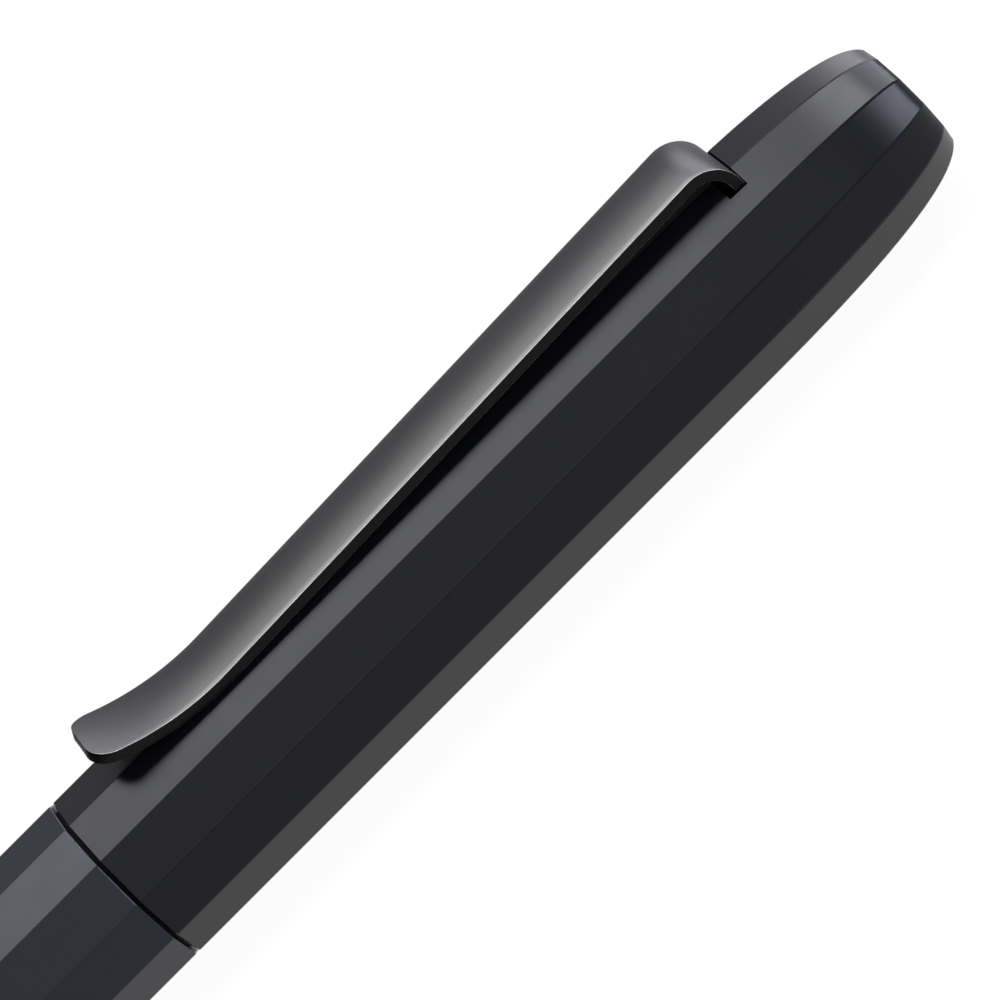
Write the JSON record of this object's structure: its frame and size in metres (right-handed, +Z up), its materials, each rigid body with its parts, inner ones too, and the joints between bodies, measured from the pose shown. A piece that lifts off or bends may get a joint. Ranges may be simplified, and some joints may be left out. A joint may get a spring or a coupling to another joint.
{
  "type": "ballpoint pen",
  "caption": "Faceted capped ballpoint pen with a bent plate clip through a slot in the pull-off cap, a screw-in grip section and a sprung replaceable refill.",
  "frame": {"origin": "middle of the pen's length, under its axis, on the surface it lies on", "axes": "+X along the pen towards the top of the cap, +Z up through the clip"},
  "size_m": [0.138, 0.011, 0.0137],
  "materials": {
    "barrel_graphite": "satin blue-grey graphite, anodised",
    "cap_graphite": "satin graphite, anodised",
    "clip_gunmetal": "satin gunmetal",
    "black_washer": "matte black",
    "black_plastic": "matte black",
    "section_black": "satin black, anodised",
    "nose_metal": "satin gunmetal",
    "brass": "turned",
    "black_steel": "blackened, turned",
    "spring_steel": "drawn wire",
    "refill_metal": "plain drawn tube",
    "ink": "paste ink",
    "point_brass": "turned",
    "ball_steel": "polished"
  },
  "bodies": {
    "barrel": {"barrel_shell": "barrel_graphite", "seam_washer": "black_washer", "thread_bush": "brass", "refill_spring": "spring_steel"},
    "cap": {"cap_shell": "cap_graphite", "cap_liner": "black_plastic", "clip_anchor": "black_steel", "anchor_screw": "spring_steel"},
    "clip": {"clip": "clip_gunmetal"},
    "refill": {"refill_tube": "refill_metal", "ink_column": "ink", "refill_plug": "black_plastic", "point_tip": "point_brass"},
    "section": {"grip_section": "section_black", "catch_ring": "black_washer", "nose_cone": "nose_metal"},
    "ball": {"writing_ball": "ball_steel"}
  },
  "joints": [
    {"name": "cap_pull", "type": "slide", "parent": "barrel", "child": "cap", "axis": [1, 0, 0], "range_m": [0, 0.045]},
    {"name": "clip_flex", "type": "hinge", "parent": "cap", "child": "clip", "pos_m": [0.05881, 0, 0.0101], "axis": [0, 1, 0], "range_deg": [0, 3], "stiffness_Nm_per_rad": 0.05},
    {"name": "refill_advance", "type": "slide", "parent": "barrel", "child": "refill", "axis": [1, 0, 0], "range_m": [0, 0.005]},
    {"name": "section_turn", "type": "hinge", "parent": "refill", "child": "section", "pos_m": [0.0104, 0, 0.0055], "axis": [1, 0, 0], "range_deg": [0, 1800]},
    {"name": "ball_roll", "type": "hinge", "parent": "refill", "child": "ball", "pos_m": [0.04845, 0, 0.0055], "axis": [0, 1, 0], "continuous": true}
  ],
  "couplings": [
    {"joint": "section_turn", "follows": "refill_advance", "rad_per_m": 6283.2}
  ]
}
